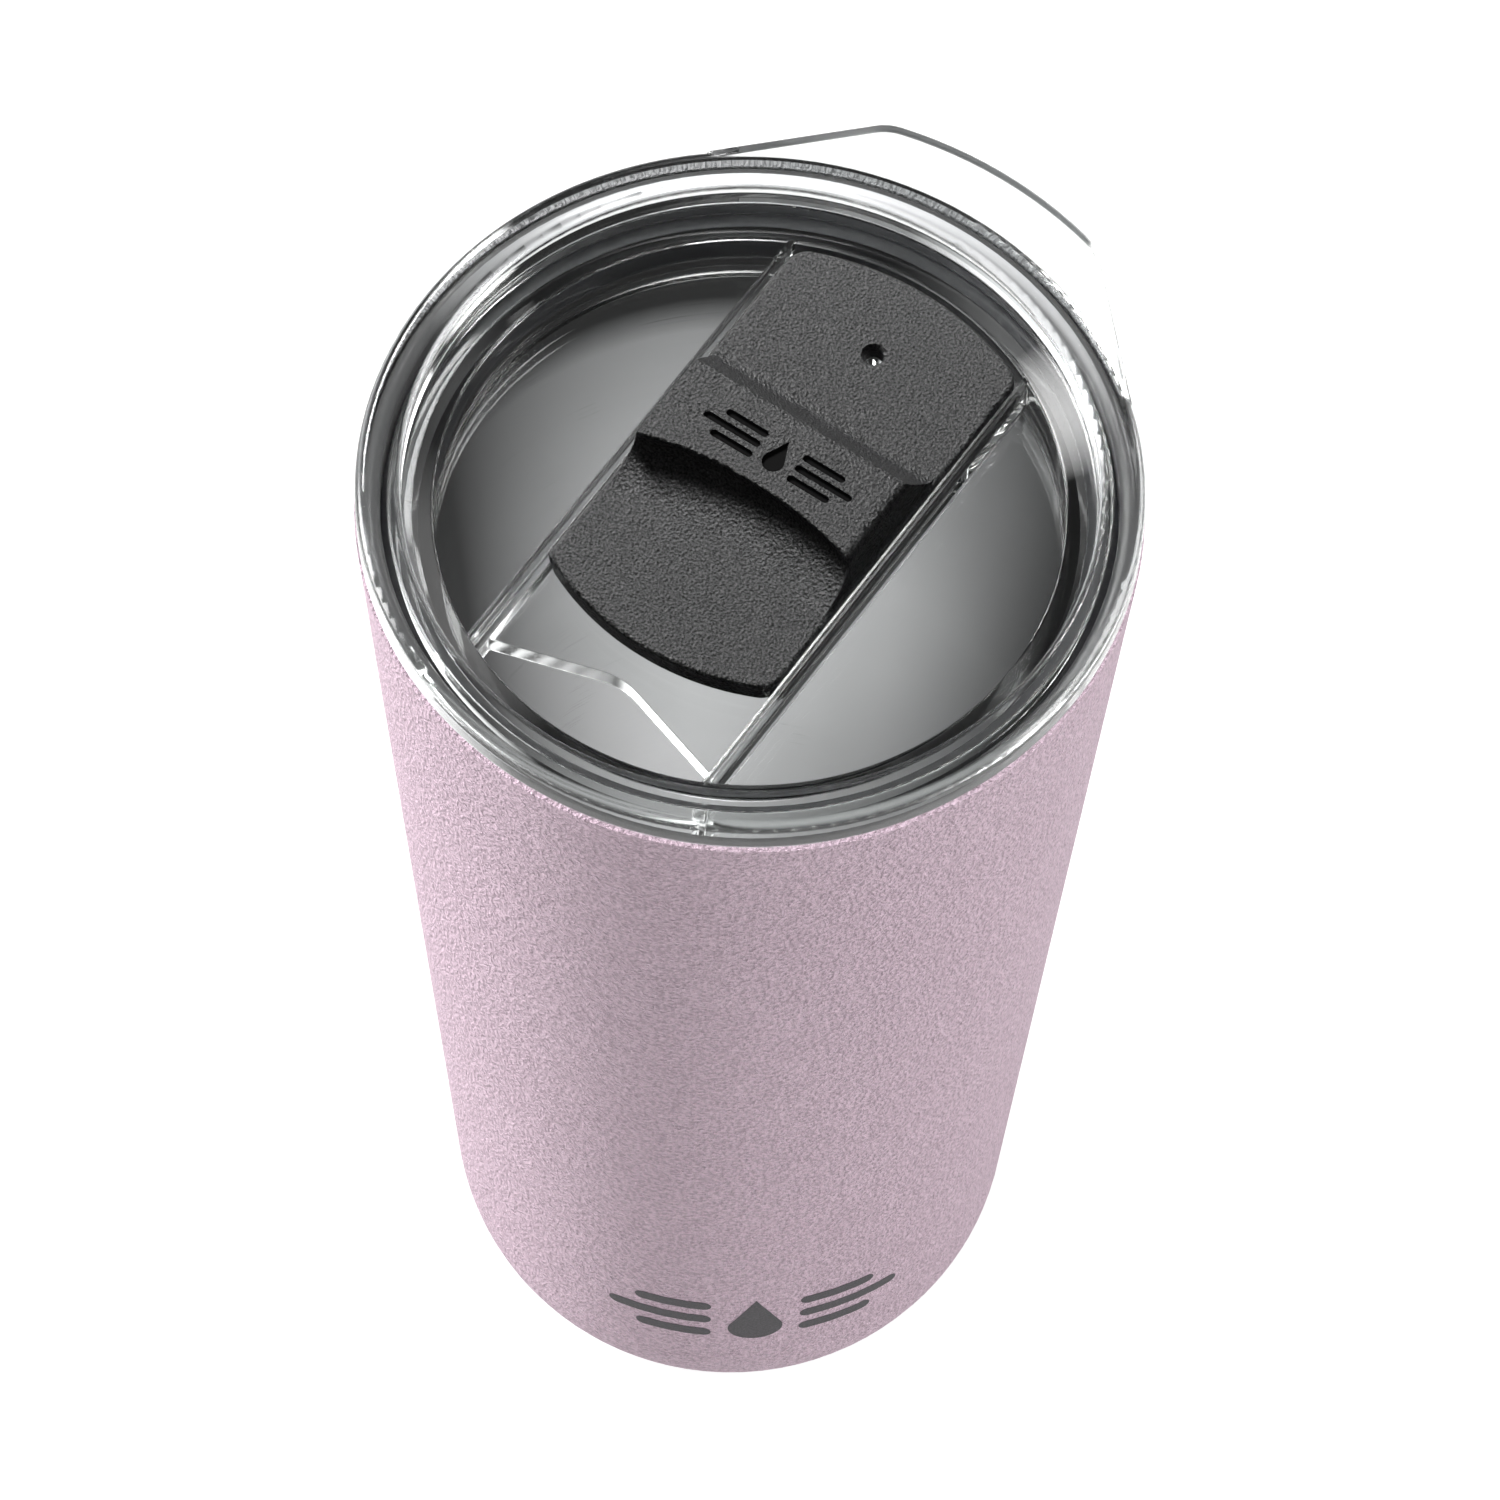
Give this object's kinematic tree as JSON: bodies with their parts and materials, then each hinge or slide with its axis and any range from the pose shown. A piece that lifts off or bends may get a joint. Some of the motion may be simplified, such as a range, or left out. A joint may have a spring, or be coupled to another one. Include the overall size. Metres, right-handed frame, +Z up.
{
  "type": "insulated tumbler with lid",
  "caption": "Tapered double-wall insulated drinks tumbler with a clear press-in lid, pull tab and sliding drink stopper.",
  "frame": {"origin": "centre of the base pad's resting face", "axes": "+Z up along the tumbler's axis, +Y towards the lid's pull tab, drink opening towards -Y"},
  "size_m": [0.0885, 0.0946, 0.1725],
  "materials": {
    "powder_coat": "fine-textured matt powder coat",
    "liner_steel": "spun and brushed",
    "base_steel": "pressed, satin",
    "solder": "as cast",
    "getter_metal": "pressed powder",
    "pad_silicone": "matt silicone",
    "clear_plastic": "polished clear copolyester",
    "gasket_silicone": "translucent grey silicone",
    "black_plastic": "fine spark-eroded texture",
    "seal_silicone": "soft silicone"
  },
  "bodies": {
    "vessel": {"outer_shell": "powder_coat", "inner_liner": "liner_steel", "base_disc": "base_steel", "vacuum_seal": "solder", "getter_cup": "base_steel", "getter_pill": "getter_metal", "base_pad": "pad_silicone"},
    "lid": {"lid_body": "clear_plastic", "lid_gasket": "gasket_silicone"},
    "stopper_slide": {"stopper": "black_plastic", "stopper_seal": "seal_silicone"}
  },
  "joints": [
    {"name": "lid_lift", "type": "slide", "parent": "vessel", "child": "lid", "axis": [0, 0, 1], "range_m": [0, 0.06]},
    {"name": "stopper_travel", "type": "slide", "parent": "lid", "child": "stopper_slide", "axis": [0, -1, 0], "range_m": [0, 0.0133]}
  ]
}
